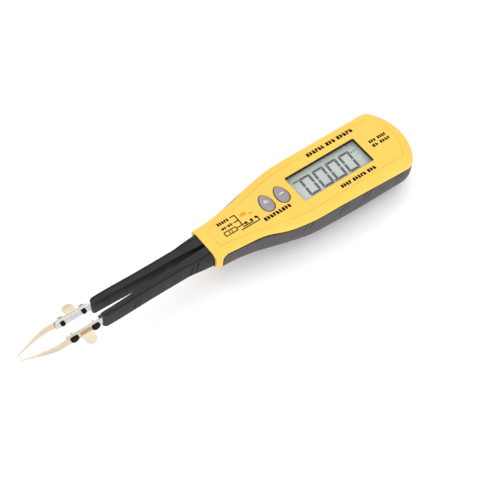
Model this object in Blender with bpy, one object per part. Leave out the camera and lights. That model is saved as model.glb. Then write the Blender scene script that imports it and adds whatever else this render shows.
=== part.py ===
"""Tweezer-type LCR meter for surface-mount parts, resting with its display up.

The tips point along -X, the butt along +X, and the display faces +Z. All sizes below are in
millimetres, and X is measured from the end of the yellow collar. The last step moves the middle
of the meter to X = 0.
"""

import math

import bmesh
import bpy
from mathutils import Vector

MM = 0.001

# Driving dimensions
TIP_X = -92.55
BUTT_X = 107.45
HALF_WIDTH = 17.5
FACE_Z = 22.2
BUTTON_CROWN_Z = 23.0
WALL = 1.8
GAP = 0.3

# Hull of the case
NECK_HALF_WIDTH = 9.4
HULL_CENTRE_Z = 20.0
NECK_KEEL_Z = 8.6
LIP_ROLL = (3.0, 3.4)  # how far the collar's underside rolls up at its end, along X and in height
KEEL_Z = -0.6  # the round keel is cut flat at Z = 0
BUTT_RADIUS = 26.5
SHOULDER_WIDTH = 4.6
SHOULDER_SEGMENTS = 4
KEEL_SEGMENTS = 16

# Seam between the two covers
NECK_SEAM_Z = 20.2
SEAM_CREST_Z = 21.0
SEAM_Z = 19.8
BUTT_SEAM_Z = 16.4
NECK_CEILING_Z = 21.1
LID_CEILING_Z = 20.6
COLLAR_X = 3.6
COLLAR_CORNER = (2.8, 3.2)

# Display and board
WINDOW_X = (48.5, 86.8)
WINDOW_Y = (-7.4, 7.9)
BOARD_Z = (12.4, 14.0)
LCD_Z = (16.8, 19.0)

# Buttons
BUTTON_X = {"function": 34.2, "hold": 42.3}
BUTTON_Y = 1.6
BUTTON_HALF = (2.8, 4.7)
BUTTON_CLEARANCE = 0.25

# Battery
CELL_X = 72.5
CELL_RADIUS = 10.0
CELL_Z = (7.3, 10.5)
DOOR_X = (61.0, 84.5)
DOOR_HALF_Y = 11.5
DOOR_TONGUE = (90.5, 5.2)
DOOR_SCREW_X = 87.7

# Case screws: place, and the height of the screw head's seat
CASE_SCREWS = {"neck": (22.0, 0.0, 9.2), "rear_right": (99.0, 8.5, 5.7), "rear_left": (99.0, -8.5, 5.7)}

# Arms
HINGE_X = 2.0
BLADE_X = (-72.4, 14.0)
BLADE_Y = (3.9, 4.7)
BLADE_Z = (16.1, 20.7)
ARM_X = (-54.9, 1.2)
ARM_Z = (13.5, 21.5)
ARM_ROOT_TOP_Z = 21.3
ARM_OPENING_Y = 8.1
ARM_OPENING_RADIUS = 2.4
TIP_PLATE_Y = (4.85, 5.45)
TIP_SCREW_X = {"front": -69.0, "rear": -58.6}
TIP_SCREW_Z = 18.4
EAR_X = -63.4
PLATE_END_X = -72.6
BEND_X = -76.4
CLAMP_SCREW_X = 9.0


# ---------------------------------------------------------------- helpers

def clear_scene():
    for obj in list(bpy.data.objects):
        bpy.data.objects.remove(obj, do_unlink=True)


def make_material(name, colour, roughness, metallic=0.0):
    material = bpy.data.materials.new(name)
    material.use_nodes = True
    shader = material.node_tree.nodes["Principled BSDF"]
    shader.inputs["Base Color"].default_value = (*colour, 1.0)
    shader.inputs["Roughness"].default_value = roughness
    shader.inputs["Metallic"].default_value = metallic
    return material


def blend(low, high, share):
    return low + (high - low) * share


def ease(start, end, x):
    """0 before start, 1 after end, smooth between."""
    share = min(max((x - start) / (end - start), 0.0), 1.0)
    return share * share * (3.0 - 2.0 * share)


def add_object(name, points, faces, material, origin=(0.0, 0.0, 0.0)):
    """A closed mesh from points in millimetres, with its origin at the given point."""
    mesh = bpy.data.meshes.new(name)
    base = Vector(origin)
    mesh.from_pydata([(Vector(p) - base) * MM for p in points], [], faces)
    shape = bmesh.new()
    shape.from_mesh(mesh)
    bmesh.ops.recalc_face_normals(shape, faces=shape.faces)
    bmesh.ops.triangulate(shape, faces=[f for f in shape.faces if len(f.verts) > 4])
    shape.to_mesh(mesh)
    shape.free()
    obj = bpy.data.objects.new(name, mesh)
    obj.location = base * MM
    bpy.context.scene.collection.objects.link(obj)
    if material:
        mesh.materials.append(material)
        mesh.shade_smooth()
        mesh.set_sharp_from_angle(angle=math.radians(30))
    return obj


def loft(name, rings, material=None, origin=(0.0, 0.0, 0.0)):
    """Rings of equal length joined in order, with a flat cap at each end."""
    count = len(rings[0])
    points = [p for ring in rings for p in ring]
    faces = []
    for level in range(len(rings) - 1):
        low, high = level * count, (level + 1) * count
        for i in range(count):
            j = (i + 1) % count
            faces.append((low + i, low + j, high + j, high + i))
    faces.append(tuple(reversed(range(count))))
    faces.append(tuple(range(len(points) - count, len(points))))
    return add_object(name, points, faces, material, origin)


def prism(name, outline, z_range, material=None, origin=(0.0, 0.0, 0.0)):
    """An outline in X and Y, extruded along Z."""
    return loft(name, [[(x, y, z) for x, y in outline] for z in z_range], material, origin)


def box(name, x_range, y_range, z_range, material=None, origin=(0.0, 0.0, 0.0)):
    (x0, x1), (y0, y1) = x_range, y_range
    return prism(name, [(x0, y0), (x1, y0), (x1, y1), (x0, y1)], z_range, material, origin)


def oval(centre, half_x, half_y, segments=24):
    """An oval outline as long as its halves say; equal halves make a circle."""
    turns = [2.0 * math.pi * i / segments for i in range(segments)]
    return [(centre[0] + half_x * math.cos(t), centre[1] + half_y * math.sin(t)) for t in turns]


def rounded_rectangle(x_range, y_range, radius, segments=3):
    outline = []
    corners = ((1, 1, 0.0), (0, 1, 90.0), (0, 0, 180.0), (1, 0, 270.0))
    for side_x, side_y, start in corners:
        cx = x_range[side_x] + (radius if side_x == 0 else -radius)
        cy = y_range[side_y] + (radius if side_y == 0 else -radius)
        for i in range(segments + 1):
            angle = math.radians(start + 90.0 * i / segments)
            outline.append((cx + radius * math.cos(angle), cy + radius * math.sin(angle)))
    return outline


def turned(name, axis, centre, profile, material=None, segments=16, origin=(0.0, 0.0, 0.0)):
    """A solid of revolution: profile pairs (place along the axis, radius) about the axis letter."""
    rings = []
    for place, radius in profile:
        ring = []
        for i in range(segments):
            angle = 2.0 * math.pi * i / segments
            u, v = radius * math.cos(angle), radius * math.sin(angle)
            if axis == "Z":
                ring.append((centre[0] + u, centre[1] + v, place))
            else:
                ring.append((centre[0] + u, place, centre[1] + v))
        rings.append(ring)
    return loft(name, rings, material, origin)


def combine(obj, tool, operation):
    """A Boolean with a helper, which stays in the file as a hidden guide."""
    modifier = obj.modifiers.new(operation.title(), "BOOLEAN")
    modifier.operation = operation
    modifier.solver = "EXACT"
    modifier.object = tool
    tool.hide_render = True
    tool.display_type = "WIRE"


def cut(obj, *tools):
    for tool in tools:
        combine(obj, tool, "DIFFERENCE")


def join(obj, *tools):
    for tool in tools:
        combine(obj, tool, "UNION")


# ---------------------------------------------------------------- hull of the case

def half_width(x, inset):
    """Half the width of the hull at x, from the tapered side and the round butt."""
    side = blend(NECK_HALF_WIDTH, HALF_WIDTH, ease(2.0, 52.0, x)) - inset
    radius = BUTT_RADIUS - inset
    depth = min(max(BUTT_X - inset + 0.17 - x, 0.0), radius)
    arc = math.sqrt(2.0 * radius * depth - depth * depth)
    return (side ** -12 + arc ** -12) ** (-1 / 12)


def keel_depth(x, inset):
    """How far the hull reaches below its centre line at x."""
    near_lip = max(0.0, 1.0 - x / LIP_ROLL[0])
    keel = blend(NECK_KEEL_Z, KEEL_Z, ease(10.0, 52.0, x)) + LIP_ROLL[1] * near_lip * near_lip
    near_butt = max(0.0, 1.0 - (BUTT_X - x) / 14.0)
    return (HULL_CENTRE_Z - keel) * (1.0 - 0.45 * near_butt * near_butt) - inset


def face_height(x):
    """The front face's height, which rolls off at the butt."""
    near_butt = max(0.0, 1.0 - (BUTT_X - x) / 4.0)
    return FACE_Z - 1.2 * near_butt * near_butt


def fullness(x):
    """Exponent of the hull's section below its centre line: 2 is an ellipse, more is squarer."""
    return blend(blend(3.4, 2.4, ease(0.0, 40.0, x)), 2.9, ease(40.0, 80.0, x))


def hull_section(x, inset, top=None):
    """One closed ring of the hull: shoulder, round keel and the other shoulder."""
    width = half_width(x, inset)
    depth = keel_depth(x, inset)
    power = 2.0 / fullness(x)
    height = face_height(x) - inset if top is None else top
    flat = max(width - SHOULDER_WIDTH, 0.25 * width) if top is None else width
    shoulder = []
    for i in range(SHOULDER_SEGMENTS):
        angle = 0.5 * math.pi * i / SHOULDER_SEGMENTS
        y = flat + (width - flat) * math.sin(angle)
        shoulder.append((x, y, HULL_CENTRE_Z + (height - HULL_CENTRE_Z) * math.cos(angle)))
    keel = []
    for i in range(KEEL_SEGMENTS + 1):
        angle = math.pi * i / KEEL_SEGMENTS
        across, down = math.cos(angle), math.sin(angle)
        y = width * math.copysign(abs(across) ** power, across)
        keel.append((x, y, max(HULL_CENTRE_Z - depth * abs(down) ** power, inset)))
    left = [(x, -y, z) for x, y, z in reversed(shoulder)]
    if top is not None:
        shoulder, left = [(x, width, top)], [(x, -width, top)]
    return shoulder + keel + left


def stations(start, end):
    """Places along the hull, closer together where it bends."""
    wanted = [0.0, 0.9, 1.9, 3.0, 10.0, 16.0, 22.0, 28.0, 34.0, 40.0, 46.0, 52.0, 72.0]
    wanted += [93.0, 98.0, 101.5, 104.0, 105.8, 106.9]
    return [start] + [x for x in wanted if start + 0.4 < x < end - 0.4] + [end]


def hull(name, material, start=0.0, end=BUTT_X, inset=0.0, top=None):
    return loft(name, [hull_section(x, inset, top) for x in stations(start, end)], material)


def seam_height(x):
    """The seam climbs behind the collar, drops past the neck and slopes down to the butt."""
    crest = blend(NECK_SEAM_Z, SEAM_CREST_Z, ease(8.0, 24.0, x))
    level = blend(crest, SEAM_Z, ease(24.0, 38.0, x))
    return blend(level, BUTT_SEAM_Z, ease(48.0, 112.0, x))


def seam_profile(offset):
    """The seam seen from the side, from below the collar to past the butt, moved by an offset."""
    line = [(COLLAR_X + offset, -5.0), (COLLAR_X + offset, NECK_SEAM_Z - COLLAR_CORNER[1] - offset)]
    centre_x, centre_z = COLLAR_X + COLLAR_CORNER[0], NECK_SEAM_Z - COLLAR_CORNER[1]
    for i in range(1, 6):
        angle = math.radians(18.0 * i)
        x = centre_x - (COLLAR_CORNER[0] - offset) * math.cos(angle)
        line.append((x, centre_z + (COLLAR_CORNER[1] - offset) * math.sin(angle)))
    near = [8.0 + 4.0 * i for i in range(5)] + [27.5, 31.0, 34.5, 38.0]
    far = [48.0 + 8.0 * i for i in range(8)] + [BUTT_X + 5.0]
    line += [(x, seam_height(x) - offset) for x in near + far]
    return line


def side_prism(name, outline, half_y=30.0):
    """An outline in X and Z, extruded across the case."""
    return loft(name, [[(x, y, z) for x, z in outline] for y in (-half_y, half_y)])


# ---------------------------------------------------------------- covers

def screw_boss(name, place, z_range, radius):
    return turned(name, "Z", place, [(z_range[0], radius), (z_range[1], radius)])


def arm_opening():
    """The mouth of the collar, with a round corner where the outer edges of the arms run in."""
    z_range = (ARM_Z[0] - GAP, ARM_ROOT_TOP_Z + GAP)
    outline = rounded_rectangle((-ARM_OPENING_Y, ARM_OPENING_Y), z_range, ARM_OPENING_RADIUS, 5)
    return loft("arm_opening", [[(x, y, z) for y, z in outline] for x in (-3.0, 3.4)])


def make_front_cover(material):
    """The yellow lid, with a collar at the neck, the window and the button holes."""
    cover = hull("front_cover", material)
    above_seam = seam_profile(-0.5 * GAP) + [(BUTT_X + 5.0, 30.0), (-5.0, 30.0), (-5.0, -5.0)]
    combine(cover, side_prism("above_seam", above_seam), "INTERSECT")
    cut(cover, hull("collar_hollow", None, start=WALL, end=16.5, inset=WALL, top=NECK_CEILING_Z))
    inside = {"start": 20.0, "end": BUTT_X - WALL, "inset": WALL, "top": LID_CEILING_Z}
    cut(cover, hull("lid_hollow", None, **inside))
    for key, (x, y, seat_z) in CASE_SCREWS.items():
        join(cover, screw_boss("front_boss_" + key, (x, y), (seat_z + 4.3, FACE_Z - 0.8), 2.6))
        cut(cover, screw_boss("front_thread_" + key, (x, y), (seat_z, 18.5), 1.15))
    cut(cover, prism("window_cut", rounded_rectangle(WINDOW_X, WINDOW_Y, 0.6), (15.0, 30.0)))
    for key, x in BUTTON_X.items():
        half = [size + BUTTON_CLEARANCE for size in BUTTON_HALF]
        cut(cover, prism("hole_" + key, oval((x, BUTTON_Y), *half), (15.0, 30.0)))
    cut(cover, arm_opening())


def make_rear_cover(material):
    """The grey tub, with the battery opening, the screw seats and the bosses."""
    cover = hull("rear_cover", material)
    below_seam = seam_profile(0.5 * GAP) + [(BUTT_X + 5.0, -5.0)]
    combine(cover, side_prism("below_seam", below_seam), "INTERSECT")
    hollow = hull("tub_hollow", None, start=-5.0, end=BUTT_X - WALL, inset=WALL, top=30.0)
    cut(hollow, box("door_pad", (85.1, 92.1), (-7.0, 7.0), (0.0, 7.0)))
    for key, (x, y, seat_z) in CASE_SCREWS.items():
        cut(hollow, screw_boss("rear_boss_" + key, (x, y), (0.0, seat_z + 4.0), 3.4))
    cut(cover, hollow)
    for key, (x, y, seat_z) in CASE_SCREWS.items():
        stepped = [(-4.0, 2.4), (seat_z, 2.4), (seat_z, 1.3), (seat_z + 5.0, 1.3)]
        cut(cover, turned("rear_hole_" + key, "Z", (x, y), stepped))
    edge = DOOR_HALF_Y + GAP
    cut(cover, box("door_opening", (DOOR_X[0] - GAP, DOOR_X[1] + GAP), (-edge, edge), (-4.0, 12.0)))
    tongue_x, tongue_y = DOOR_TONGUE[0] + GAP, DOOR_TONGUE[1] + GAP
    cut(cover, box("tongue_seat", (83.5, tongue_x), (-tongue_y, tongue_y), (-4.0, WALL + GAP)))
    cut(cover, screw_boss("door_thread", (DOOR_SCREW_X, 0.0), (1.0, 12.0), 1.05))


def make_battery_door(material):
    """A piece of the hull with two ribs that hold the cell, and a tongue for its screw."""
    door = hull("battery_door", material, start=53.5, end=93.5)
    combine(door, box("door_bounds", DOOR_X, (-DOOR_HALF_Y, DOOR_HALF_Y), (-4.0, 12.0)), "INTERSECT")
    cut(door, hull("door_hollow", None, start=48.0, end=98.0, inset=WALL, top=30.0))
    for side in (-1, 1):
        rib = sorted((side * 4.0, side * 5.5))
        join(door, box(f"door_rib_{side}", (65.5, 79.5), rib, (1.0, CELL_Z[0] - GAP)))
    tongue_x, half_y = DOOR_TONGUE
    join(door, box("door_tongue", (82.5, tongue_x), (-half_y, half_y), (0.0, WALL - 0.05)))
    stepped = [(-3.0, 2.1), (1.1, 2.1), (1.1, 1.15), (5.0, 1.15)]
    cut(door, turned("door_screw_hole", "Z", (DOOR_SCREW_X, 0.0), stepped))


def make_screws(material):
    """The screws of the case and of the battery door, which all go in from below."""
    for key, (x, y, seat_z) in CASE_SCREWS.items():
        head = seat_z - GAP
        profile = [(head - 1.3, 1.5), (head - 1.0, 2.1), (head, 2.1), (head, 1.0), (17.5, 1.0)]
        turned("case_screw_" + key, "Z", (x, y), profile, material, 12, (x, y, head))
    profile = [(0.1, 1.7), (0.85, 1.8), (0.85, 0.85), (6.5, 0.85)]
    place = (DOOR_SCREW_X, 0.0)
    turned("battery_door_screw", "Z", place, profile, material, 12, (*place, 0.85))


# ---------------------------------------------------------------- display and board

def make_display(materials):
    lens = rounded_rectangle((47.5, 87.8), (-8.4, 8.9), 0.8)
    prism("window_lens", lens, (19.3, 20.3), materials["clear"])
    box("lcd_panel", (47.8, 88.0), (-10.0, 10.0), LCD_Z, materials["lcd"])
    holder_z = (BOARD_Z[1] + GAP, LCD_Z[1])
    holder = box("lcd_holder", (46.8, 89.4), (-12.2, 12.2), holder_z, materials["white"])
    cut(holder, box("lcd_pocket", (47.5, 88.3), (-10.3, 10.3), (10.0, 25.0)))
    for name, side in (("zebra_strip_upper", 1), ("zebra_strip_lower", -1)):
        y_range = sorted((side * 7.0, side * 9.0))
        z_range = (BOARD_Z[1] + GAP, LCD_Z[0] - GAP)
        box(name, (49.2, 86.6), y_range, z_range, materials["zebra"])


def make_board(materials):
    outline = [(28.0, -8.6), (46.0, -13.4), (91.8, -13.4), (91.8, 13.4), (46.0, 13.4), (28.0, 8.6)]
    prism("circuit_board", outline, BOARD_Z, materials["board"])
    low, top = BOARD_Z[0] - GAP, BOARD_Z[1] + GAP
    box("main_chip", (47.7, 58.7), (-9.5, 1.5), (low - 1.6, low), materials["chip"])
    box("crystal", (47.9, 57.5), (5.0, 8.8), (low - 3.2, low), materials["can"])
    can = [(low - 3.0, 5.4), (low - 0.5, 6.0), (low, 6.0)]
    turned("buzzer", "Z", (38.5, 0.0), can, materials["chip"], 20)
    for key, x in BUTTON_X.items():
        half = 3.0
        y_range = (BUTTON_Y - half, BUTTON_Y + half)
        switch = box("switch_" + key, (x - half, x + half), y_range, (top, 17.0), materials["chip"])
        join(switch, screw_boss("plunger_" + key, (x, BUTTON_Y), (16.0, 18.1), 1.6))


def make_battery(materials):
    centre = (CELL_X, 0.0)
    rim = 1.2
    low, high = CELL_Z
    cell = [(low, CELL_RADIUS - rim), (low + 0.4, CELL_RADIUS), (high, CELL_RADIUS)]
    turned("coin_cell", "Z", centre, cell, materials["steel"], 32, (CELL_X, 0.0, low))
    tube = [(7.0, 11.9), (BOARD_Z[0] - GAP, 11.9)]
    holder = turned("battery_holder", "Z", centre, tube, materials["chip"], 32)
    cut(holder, turned("cell_pocket", "Z", centre, [(0.0, 10.9), (11.5, 10.9)], None, 32))
    contact_x = CELL_X + CELL_RADIUS
    x_range = (contact_x + 0.22, contact_x + 0.6)
    box("battery_contact_positive", x_range, (-1.6, 1.6), (7.6, 11.1), materials["gold"])
    strip = [(CELL_X - 7.0, -1.8), (CELL_X + 5.0, -1.8), (CELL_X + 5.0, 1.8), (CELL_X - 7.0, 1.8)]
    prism("battery_contact_negative", strip, (high + 0.25, high + 0.7), materials["gold"])


def make_buttons(material):
    """Oval caps with a domed crown, a flange under the cover and a stem over the switch."""
    for key, x in BUTTON_X.items():
        half_x, half_y = BUTTON_HALF
        flange = 0.6
        levels = [
            (18.7, 1.5, 1.5),
            (19.4, 1.5, 1.5),
            (19.5, half_x + flange, half_y + flange),
            (20.2, half_x + flange, half_y + flange),
            (20.2, half_x, half_y),
            (22.4, half_x, half_y),
            (22.72, half_x - 0.4, half_y - 0.4),
            (22.93, half_x - 1.2, half_y - 1.3),
            (BUTTON_CROWN_Z, half_x - 2.3, half_y - 2.8),
        ]
        rings = [[(px, py, z) for px, py in oval((x, BUTTON_Y), a, b)] for z, a, b in levels]
        loft("button_" + key, rings, material, (x, BUTTON_Y, FACE_Z))


# ---------------------------------------------------------------- arms

def arm_width(x):
    """Inner and outer faces of an arm cover at x, as distances from the middle plane."""
    inner = blend(2.8, 1.6, ease(-55.0, -18.0, x)) - 0.8 * ease(-18.0, 2.0, x)
    outer = blend(5.95, 5.6, ease(-50.0, -28.0, x)) + 2.1 * ease(-13.0, 1.0, x)
    return inner, outer


def arm_section(x, side, shrink=0.0):
    """A section of an arm cover with chamfered edges."""
    inner, outer = arm_width(x)
    inner, outer = inner + shrink, outer - shrink
    top = blend(ARM_Z[1], ARM_ROOT_TOP_Z, ease(-12.0, -2.0, x))
    low, high = ARM_Z[0] + shrink, top - shrink
    near_root = ease(-10.0, 0.0, x)
    edge, above, below = 0.45, blend(0.45, 1.4, near_root), blend(0.9, 1.6, near_root)
    outline = [
        (inner + edge, low), (outer - below, low), (outer, low + below), (outer, high - above),
        (outer - above, high), (inner + edge, high), (inner, high - edge), (inner, low + edge),
    ]
    return [(x, side * y, z) for y, z in outline]


def make_arm_cover(name, side, material, hinge):
    places = [ARM_X[0], ARM_X[0] + 1.4, -46.0, -38.0, -30.0, -23.0, -17.0, -12.0, -7.0, -2.0, ARM_X[1]]
    shrinks = [0.7] + [0.0] * (len(places) - 1)
    cover = loft(name, [arm_section(x, side, s) for x, s in zip(places, shrinks)], material, hinge)
    y_range = sorted((side * (BLADE_Y[0] - 0.25), side * (BLADE_Y[1] + 0.25)))
    z_range = (BLADE_Z[0] - 0.25, BLADE_Z[1] + 0.25)
    cut(cover, box(name + "_slot", (-60.0, 5.0), y_range, z_range))
    return cover


def make_blade(name, side, material, hinge):
    y_range = sorted((side * BLADE_Y[0], side * BLADE_Y[1]))
    blade = box(name, BLADE_X, y_range, BLADE_Z, material, hinge)
    cut_y = sorted((side * 2.0, side * 7.0))
    for x in (*TIP_SCREW_X.values(), CLAMP_SCREW_X):
        profile = [(cut_y[0], 1.25), (cut_y[1], 1.25)]
        cut(blade, turned(f"{name}_hole_{x:.0f}", "Y", (x, TIP_SCREW_Z), profile))


def tip_section(x, side):
    """A section of the gold tip: a flat plate that narrows and bends in to a fine point."""
    inner, outer = TIP_PLATE_Y
    middle = 0.5 * (inner + outer)
    along = max(0.0, BEND_X - x) / (BEND_X - TIP_X)
    middle = middle + 0.15 * ease(PLATE_END_X, BEND_X, x) - 4.05 * along ** 1.35
    half = 0.5 * (outer - inner) * blend(1.0, 0.8, along)
    narrow = ease(PLATE_END_X, TIP_X - 3.0, x)
    low, high = blend(BLADE_Z[0], 18.1, narrow), blend(BLADE_Z[1], 18.75, narrow)
    outline = [(middle - half, low), (middle + half, low), (middle + half, high), (middle - half, high)]
    return [(x, side * y, z) for y, z in outline]


def make_tip(name, side, material, hinge):
    places = [-56.3, PLATE_END_X, -74.5, BEND_X, -78.5, -81.0, -83.5, -86.0, -88.5, -90.6, TIP_X]
    tip = loft(name, [tip_section(x, side) for x in places], material, hinge)
    half = 2.6
    reach = [(EAR_X + half, 5.1)]
    for i in range(9):
        angle = math.radians(22.5 * i)
        reach.append((EAR_X + half * math.cos(angle), 8.9 + half * math.sin(angle)))
    reach.append((EAR_X - half, 5.1))
    join(tip, prism(name + "_ear", [(x, side * y) for x, y in reach], (18.2, 18.8)))
    cut_y = sorted((side * 3.0, side * 8.0))
    for x in TIP_SCREW_X.values():
        profile = [(cut_y[0], 1.25), (cut_y[1], 1.25)]
        cut(tip, turned(f"{name}_hole_{x:.0f}", "Y", (x, TIP_SCREW_Z), profile))


def cross_screw(name, side, x, head_y, end_y, material, origin):
    """A round-headed screw across an arm, its head outside."""
    profile = [(end_y, 1.05), (head_y, 1.05), (head_y, 1.95), (head_y + 0.6, 1.85), (head_y + 1.1, 1.1)]
    if side < 0:
        profile = [(-place, radius) for place, radius in profile]
    turned(name, "Y", (x, TIP_SCREW_Z), profile, material, 14, origin)


def make_arm(label, side, materials):
    """One arm, which turns about an upright axis through the root of its blade."""
    hinge = (HINGE_X, side * 0.5 * (BLADE_Y[0] + BLADE_Y[1]), TIP_SCREW_Z)
    make_arm_cover(f"{label}_arm_cover", side, materials["arm"], hinge)
    make_blade(f"{label}_spring_blade", side, materials["steel"], hinge)
    make_tip(f"{label}_tip", side, materials["gold"], hinge)
    for key, x in TIP_SCREW_X.items():
        name = f"{label}_tip_screw_{key}"
        cross_screw(name, side, x, TIP_PLATE_Y[1] + 0.15, 2.7, materials["black_steel"], hinge)


def make_arm_block(materials):
    """The insulating block in the neck, which holds the roots of both blades."""
    block = box("arm_block", (3.3, 15.5), (-5.9, 5.9), (14.2, 20.2), materials["chip"])
    for label, side in (("right", 1), ("left", -1)):
        y_range = sorted((side * (BLADE_Y[0] - GAP), side * (BLADE_Y[1] + GAP)))
        cut(block, box(label + "_root_slot", (0.0, 14.3), y_range, (BLADE_Z[0] - GAP, 25.0)))
        profile = [(-8.0, 1.3), (8.0, 1.3)]
        if side > 0:
            cut(block, turned("clamp_hole", "Y", (CLAMP_SCREW_X, TIP_SCREW_Z), profile))
        cross_screw(
            f"{label}_clamp_screw", side, CLAMP_SCREW_X, 6.1, 1.0, materials["steel"],
            (CLAMP_SCREW_X, side * 6.1, TIP_SCREW_Z),
        )


def make_lead_wires(material):
    """A wire on each side from behind the arm block down to the front of the board."""
    for label, side in (("right", 1), ("left", -1)):
        curve = bpy.data.curves.new(label + "_lead_wire", "CURVE")
        curve.dimensions = "3D"
        curve.bevel_depth = 0.4 * MM
        curve.bevel_resolution = 1
        curve.use_fill_caps = True
        spline = curve.splines.new("POLY")
        steps = 8
        spline.points.add(steps)
        for i in range(steps + 1):
            share = i / steps
            x = blend(15.9, 29.0, share)
            y = side * blend(4.3, 6.2, ease(0.0, 1.0, share))
            z = blend(17.0, 14.8, ease(0.0, 1.0, share)) + 0.9 * math.sin(math.pi * share)
            spline.points[i].co = (x * MM, y * MM, z * MM, 1.0)
        obj = bpy.data.objects.new(label + "_lead_wire", curve)
        curve.materials.append(material)
        bpy.context.scene.collection.objects.link(obj)


# ---------------------------------------------------------------- whole object

def make_materials():
    return {
        "yellow": make_material("yellow_abs", (0.86, 0.55, 0.07), 0.42),
        "grey": make_material("grey_abs", (0.075, 0.07, 0.085), 0.55),
        "arm": make_material("arm_plastic", (0.035, 0.035, 0.037), 0.6),
        "button": make_material("button_plastic", (0.36, 0.33, 0.37), 0.4),
        "clear": make_material("clear_lens", (0.8, 0.85, 0.85), 0.05),
        "lcd": make_material("lcd_glass", (0.45, 0.5, 0.44), 0.2),
        "white": make_material("white_plastic", (0.7, 0.7, 0.68), 0.5),
        "zebra": make_material("zebra_rubber", (0.3, 0.25, 0.27), 0.7),
        "board": make_material("board_green", (0.02, 0.16, 0.06), 0.4),
        "chip": make_material("black_plastic", (0.02, 0.02, 0.022), 0.45),
        "can": make_material("crystal_can", (0.6, 0.6, 0.6), 0.3, 1.0),
        "steel": make_material("spring_steel", (0.62, 0.61, 0.6), 0.28, 1.0),
        "black_steel": make_material("black_screw", (0.02, 0.02, 0.02), 0.35, 0.6),
        "gold": make_material("gold_plating", (0.83, 0.65, 0.38), 0.25, 1.0),
        "wire": make_material("wire_cover", (0.5, 0.03, 0.03), 0.5),
    }


def centre_everything():
    """Move every object so that the middle of the meter's length is at X = 0."""
    for obj in bpy.data.objects:
        obj.location.x -= 0.5 * (TIP_X + BUTT_X) * MM


def main():
    clear_scene()
    materials = make_materials()
    make_front_cover(materials["yellow"])
    make_rear_cover(materials["grey"])
    make_battery_door(materials["grey"])
    make_screws(materials["steel"])
    make_display(materials)
    make_board(materials)
    make_battery(materials)
    make_buttons(materials["button"])
    make_arm_block(materials)
    make_lead_wires(materials["wire"])
    make_arm("right", 1, materials)
    make_arm("left", -1, materials)
    centre_everything()


main()
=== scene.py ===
import math

import bmesh
import bpy
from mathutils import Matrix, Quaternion, Vector


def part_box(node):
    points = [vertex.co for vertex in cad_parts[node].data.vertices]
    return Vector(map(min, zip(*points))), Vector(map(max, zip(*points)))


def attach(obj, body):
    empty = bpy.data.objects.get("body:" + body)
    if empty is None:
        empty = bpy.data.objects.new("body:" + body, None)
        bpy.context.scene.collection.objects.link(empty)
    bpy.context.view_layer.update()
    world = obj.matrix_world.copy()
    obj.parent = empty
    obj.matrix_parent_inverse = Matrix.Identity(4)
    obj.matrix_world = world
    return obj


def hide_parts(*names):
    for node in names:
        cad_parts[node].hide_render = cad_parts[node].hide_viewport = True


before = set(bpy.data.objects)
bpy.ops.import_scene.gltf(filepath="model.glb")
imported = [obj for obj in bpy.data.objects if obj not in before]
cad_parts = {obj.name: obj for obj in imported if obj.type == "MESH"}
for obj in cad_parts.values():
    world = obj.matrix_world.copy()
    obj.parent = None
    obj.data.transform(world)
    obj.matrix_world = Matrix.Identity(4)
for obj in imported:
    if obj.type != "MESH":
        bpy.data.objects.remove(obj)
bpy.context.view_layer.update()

# Lengths are in millimetres along the frame's own axes, with X measured from the end of the yellow
# collar, until add_mesh turns them into metres and moves them to the collar's place in the frame.
MM = 0.001
COLLAR_PLACE = Vector((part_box("front_cover")[0].x / MM, 0.0, 0.0))


def cad_box(node):
    """Lowest and highest corner of a CAD node, in millimetres from the collar."""
    low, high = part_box(node)
    return low / MM - COLLAR_PLACE, high / MM - COLLAR_PLACE


# Sizes read from the frame
FRONT_COVER_HIGH = cad_box("front_cover")[1]
BUTT_X = FRONT_COVER_HIGH.x
FACE_Z = FRONT_COVER_HIGH.z
HALF_WIDTH = cad_box("rear_cover")[1].y
LENS_LOW, LENS_HIGH = cad_box("window_lens")
LENS_OVERLAP = 1.0
WINDOW_X = (LENS_LOW.x + LENS_OVERLAP, LENS_HIGH.x - LENS_OVERLAP)
WINDOW_Y = (LENS_LOW.y + LENS_OVERLAP, LENS_HIGH.y - LENS_OVERLAP)
LCD_TOP_Z = cad_box("lcd_panel")[1].z
BUTTONS = {key: cad_box("button_" + key) for key in ("function", "hold")}
ARM_LOW, ARM_HIGH = cad_box("right_arm_cover")
BLADE_LOW, BLADE_HIGH = cad_box("right_spring_blade")
TIP_LOW, TIP_HIGH = cad_box("right_tip")
DOOR_LOW, DOOR_HIGH = cad_box("battery_door")
DOOR_SCREW_LOW, DOOR_SCREW_HIGH = cad_box("battery_door_screw")
CASE_SCREWS = {key: cad_box("case_screw_" + key) for key in ("neck", "rear_right", "rear_left")}

# Hull of the case, the same rule as the CAD covers
WALL = 1.8
GAP = 0.24
NECK_HALF_WIDTH = 9.4
HULL_CENTRE_Z = 20.0
NECK_KEEL_Z = 8.6
LIP_ROLL = (3.0, 3.4)  # how far the collar's underside rolls up at its end, along X and in height
KEEL_Z = -0.6  # the round keel is cut flat at Z = 0
BUTT_RADIUS = 26.5
CORNER_RADIUS = 5.5
CORNER_CENTRE_Y = 12.0
CORNER_LENGTH = 9.27  # from the end of the straight side to the butt

# Front face: a flat panel inside a fine groove, with a round shoulder outside it
PANEL_Z = FACE_Z - 0.05
PANEL_START_X = 0.6
PANEL_CORNER = 0.3
GROOVE = ((4.7, 0.0), (4.52, 0.2), (4.4, 0.28), (4.28, 0.2), (4.1, 0.02))  # inset and depth
SHOULDER_INSET = 4.05
COLLAR_ROLL = 0.8
INK_THICKNESS = 0.03

# Seam between the two covers
NECK_SEAM_Z = 20.2
SEAM_CREST_Z = 21.0
SEAM_Z = 19.8
BUTT_SEAM_Z = 16.4
NECK_CEILING_Z = 21.1
LID_CEILING_Z = 20.6
COLLAR_X = 3.6
COLLAR_CORNER = (2.8, 3.2)
SEAM_GAP = 0.6

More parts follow.
